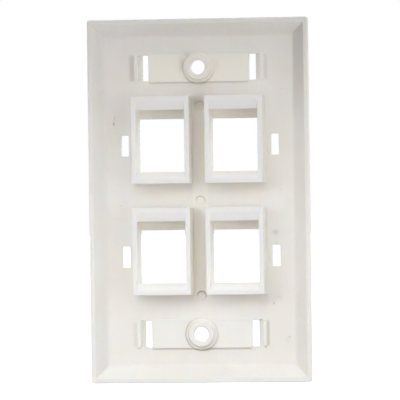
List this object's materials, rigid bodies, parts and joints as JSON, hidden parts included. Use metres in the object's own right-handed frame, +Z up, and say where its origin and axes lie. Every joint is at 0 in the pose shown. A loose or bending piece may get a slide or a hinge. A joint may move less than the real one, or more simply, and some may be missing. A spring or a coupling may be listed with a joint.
{
  "type": "keystone faceplate",
  "caption": "White moulded wall plate with keystone module ports, label pockets and countersunk screw holes, for a single-gang wall box.",
  "frame": {"origin": "on the wall plane, where the plate rests with its back rim, at the centre of the two-screw pattern", "axes": "+Z up, along the screw pattern; +Y into the wall box, so the front face looks towards -Y; +X to the right seen from the front"},
  "size_m": [0.0694, 0.01, 0.1136],
  "materials": {
    "plate": "moulded white, satin gloss"
  },
  "bodies": {
    "root": {"faceplate": "plate"}
  },
  "joints": []
}
